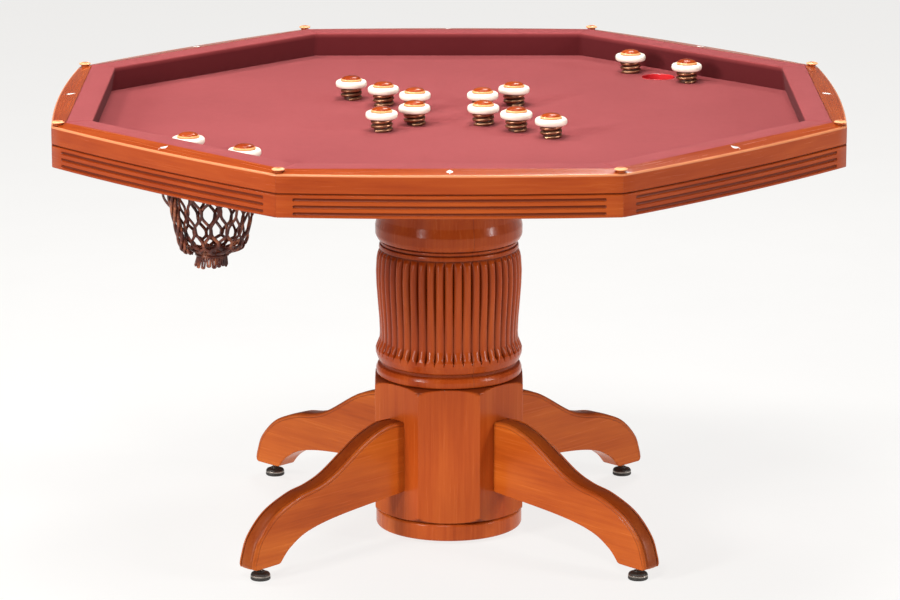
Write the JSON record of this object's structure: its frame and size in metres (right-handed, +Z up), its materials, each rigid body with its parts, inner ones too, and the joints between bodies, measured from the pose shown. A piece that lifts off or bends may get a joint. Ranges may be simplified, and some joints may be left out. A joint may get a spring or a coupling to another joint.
{
  "type": "octagonal bumper pool table",
  "caption": "Octagonal bumper pool table with cloth bed and cushions, sprung ring bumpers, net pockets, and a reeded pedestal on scrolled legs with levelling feet.",
  "frame": {"origin": "on the floor under the middle of the table", "axes": "+Z up; a flat side of the octagon faces -Y; the two pockets lie on the diagonal from (-X, -Y) to (+X, +Y)"},
  "size_m": [1.372, 1.372, 0.7915],
  "materials": {
    "wood": "glossy orange-brown lacquer over a fine straight grain",
    "cloth": "matt woven billiard cloth, rose burgundy",
    "liner_plastic": "glossy red",
    "lace_leather": "brown leather lace, satin",
    "spring_bronze": "darkened bronze wire",
    "ring_rubber": "cream rubber, satin",
    "leveller_rubber": "black, matt",
    "cap_wood": "glossy lacquered wood button",
    "button_wood": "pale turned wood button",
    "pearl": "pearl inlay",
    "leveller_steel": "plated steel"
  },
  "bodies": {
    "table": {"rail_1": "wood", "rail_2": "wood", "rail_3": "wood", "rail_4": "wood", "rail_5": "wood", "rail_6": "wood", "rail_7": "wood", "rail_8": "wood", "cushion_1": "cloth", "cushion_2": "cloth", "cushion_3": "cloth", "cushion_4": "cloth", "cushion_5": "cloth", "cushion_6": "cloth", "cushion_7": "cloth", "cushion_8": "cloth", "bed": "cloth", "pocket_liner_1": "liner_plastic", "pocket_liner_2": "liner_plastic", "pocket_net_1": "lace_leather", "pocket_net_2": "lace_leather", "turned_column": "wood", "pedestal_block": "wood", "plinth": "wood", "leg_1": "wood", "leg_2": "wood", "leg_3": "wood", "leg_4": "wood", "bumper_spring_01": "spring_bronze", "bumper_spring_02": "spring_bronze", "bumper_spring_03": "spring_bronze", "bumper_spring_04": "spring_bronze", "bumper_spring_05": "spring_bronze", "bumper_spring_06": "spring_bronze", "bumper_spring_07": "spring_bronze", "bumper_spring_08": "spring_bronze", "bumper_spring_09": "spring_bronze", "bumper_spring_10": "spring_bronze", "bumper_spring_11": "spring_bronze", "bumper_spring_12": "spring_bronze", "bumper_spring_13": "spring_bronze", "bumper_spring_14": "spring_bronze"},
    "bumper_01": {"bumper_head_01": "ring_rubber"},
    "bumper_02": {"bumper_head_02": "ring_rubber"},
    "bumper_03": {"bumper_head_03": "ring_rubber"},
    "bumper_04": {"bumper_head_04": "ring_rubber"},
    "bumper_05": {"bumper_head_05": "ring_rubber"},
    "bumper_06": {"bumper_head_06": "ring_rubber"},
    "bumper_07": {"bumper_head_07": "ring_rubber"},
    "bumper_08": {"bumper_head_08": "ring_rubber"},
    "bumper_09": {"bumper_head_09": "ring_rubber"},
    "bumper_10": {"bumper_head_10": "ring_rubber"},
    "bumper_11": {"bumper_head_11": "ring_rubber"},
    "bumper_12": {"bumper_head_12": "ring_rubber"},
    "bumper_13": {"bumper_head_13": "ring_rubber"},
    "bumper_14": {"bumper_head_14": "ring_rubber"},
    "leveller_1_body": {"leveller_1": "leveller_rubber"},
    "leveller_2_body": {"leveller_2": "leveller_rubber"},
    "leveller_3_body": {"leveller_3": "leveller_rubber"},
    "leveller_4_body": {"leveller_4": "leveller_rubber"}
  },
  "joints": [
    {"name": "bumper_01_lean", "type": "hinge", "parent": "table", "child": "bumper_01", "pos_m": [-0.0601, -0.0601, 0.757], "axis": [-0.7071, 0.7071, 0], "range_deg": [-8, 8], "stiffness_Nm_per_rad": 3, "deforming": ["bumper_spring_01"]},
    {"name": "bumper_02_lean", "type": "hinge", "parent": "table", "child": "bumper_02", "pos_m": [0.0601, 0.0601, 0.757], "axis": [-0.7071, 0.7071, 0], "range_deg": [-8, 8], "stiffness_Nm_per_rad": 3, "deforming": ["bumper_spring_02"]},
    {"name": "bumper_03_lean", "type": "hinge", "parent": "table", "child": "bumper_03", "pos_m": [-0.11667, -0.11667, 0.757], "axis": [-0.7071, 0.7071, 0], "range_deg": [-8, 8], "stiffness_Nm_per_rad": 3, "deforming": ["bumper_spring_03"]},
    {"name": "bumper_04_lean", "type": "hinge", "parent": "table", "child": "bumper_04", "pos_m": [0.11667, 0.11667, 0.757], "axis": [-0.7071, 0.7071, 0], "range_deg": [-8, 8], "stiffness_Nm_per_rad": 3, "deforming": ["bumper_spring_04"]},
    {"name": "bumper_05_lean", "type": "hinge", "parent": "table", "child": "bumper_05", "pos_m": [0.0601, -0.0601, 0.757], "axis": [-0.7071, 0.7071, 0], "range_deg": [-8, 8], "stiffness_Nm_per_rad": 3, "deforming": ["bumper_spring_05"]},
    {"name": "bumper_06_lean", "type": "hinge", "parent": "table", "child": "bumper_06", "pos_m": [-0.0601, 0.0601, 0.757], "axis": [-0.7071, 0.7071, 0], "range_deg": [-8, 8], "stiffness_Nm_per_rad": 3, "deforming": ["bumper_spring_06"]},
    {"name": "bumper_07_lean", "type": "hinge", "parent": "table", "child": "bumper_07", "pos_m": [0.11667, -0.11667, 0.757], "axis": [-0.7071, 0.7071, 0], "range_deg": [-8, 8], "stiffness_Nm_per_rad": 3, "deforming": ["bumper_spring_07"]},
    {"name": "bumper_08_lean", "type": "hinge", "parent": "table", "child": "bumper_08", "pos_m": [-0.11667, 0.11667, 0.757], "axis": [-0.7071, 0.7071, 0], "range_deg": [-8, 8], "stiffness_Nm_per_rad": 3, "deforming": ["bumper_spring_08"]},
    {"name": "bumper_09_lean", "type": "hinge", "parent": "table", "child": "bumper_09", "pos_m": [0.17536, -0.17536, 0.757], "axis": [-0.7071, 0.7071, 0], "range_deg": [-8, 8], "stiffness_Nm_per_rad": 3, "deforming": ["bumper_spring_09"]},
    {"name": "bumper_10_lean", "type": "hinge", "parent": "table", "child": "bumper_10", "pos_m": [-0.17536, 0.17536, 0.757], "axis": [-0.7071, 0.7071, 0], "range_deg": [-8, 8], "stiffness_Nm_per_rad": 3, "deforming": ["bumper_spring_10"]},
    {"name": "bumper_11_lean", "type": "hinge", "parent": "table", "child": "bumper_11", "pos_m": [-0.33941, -0.43841, 0.757], "axis": [-0.7071, 0.7071, 0], "range_deg": [-8, 8], "stiffness_Nm_per_rad": 3, "deforming": ["bumper_spring_11"]},
    {"name": "bumper_12_lean", "type": "hinge", "parent": "table", "child": "bumper_12", "pos_m": [-0.43841, -0.33941, 0.757], "axis": [-0.7071, 0.7071, 0], "range_deg": [-8, 8], "stiffness_Nm_per_rad": 3, "deforming": ["bumper_spring_12"]},
    {"name": "bumper_13_lean", "type": "hinge", "parent": "table", "child": "bumper_13", "pos_m": [0.43841, 0.33941, 0.757], "axis": [-0.7071, 0.7071, 0], "range_deg": [-8, 8], "stiffness_Nm_per_rad": 3, "deforming": ["bumper_spring_13"]},
    {"name": "bumper_14_lean", "type": "hinge", "parent": "table", "child": "bumper_14", "pos_m": [0.33941, 0.43841, 0.757], "axis": [-0.7071, 0.7071, 0], "range_deg": [-8, 8], "stiffness_Nm_per_rad": 3, "deforming": ["bumper_spring_14"]},
    {"name": "leveller_1_screw", "type": "slide", "parent": "table", "child": "leveller_1_body", "axis": [0, 0, 1], "range_m": [-0.012, 0.008]},
    {"name": "leveller_2_screw", "type": "slide", "parent": "table", "child": "leveller_2_body", "axis": [0, 0, 1], "range_m": [-0.012, 0.008]},
    {"name": "leveller_3_screw", "type": "slide", "parent": "table", "child": "leveller_3_body", "axis": [0, 0, 1], "range_m": [-0.012, 0.008]},
    {"name": "leveller_4_screw", "type": "slide", "parent": "table", "child": "leveller_4_body", "axis": [0, 0, 1], "range_m": [-0.012, 0.008]}
  ]
}
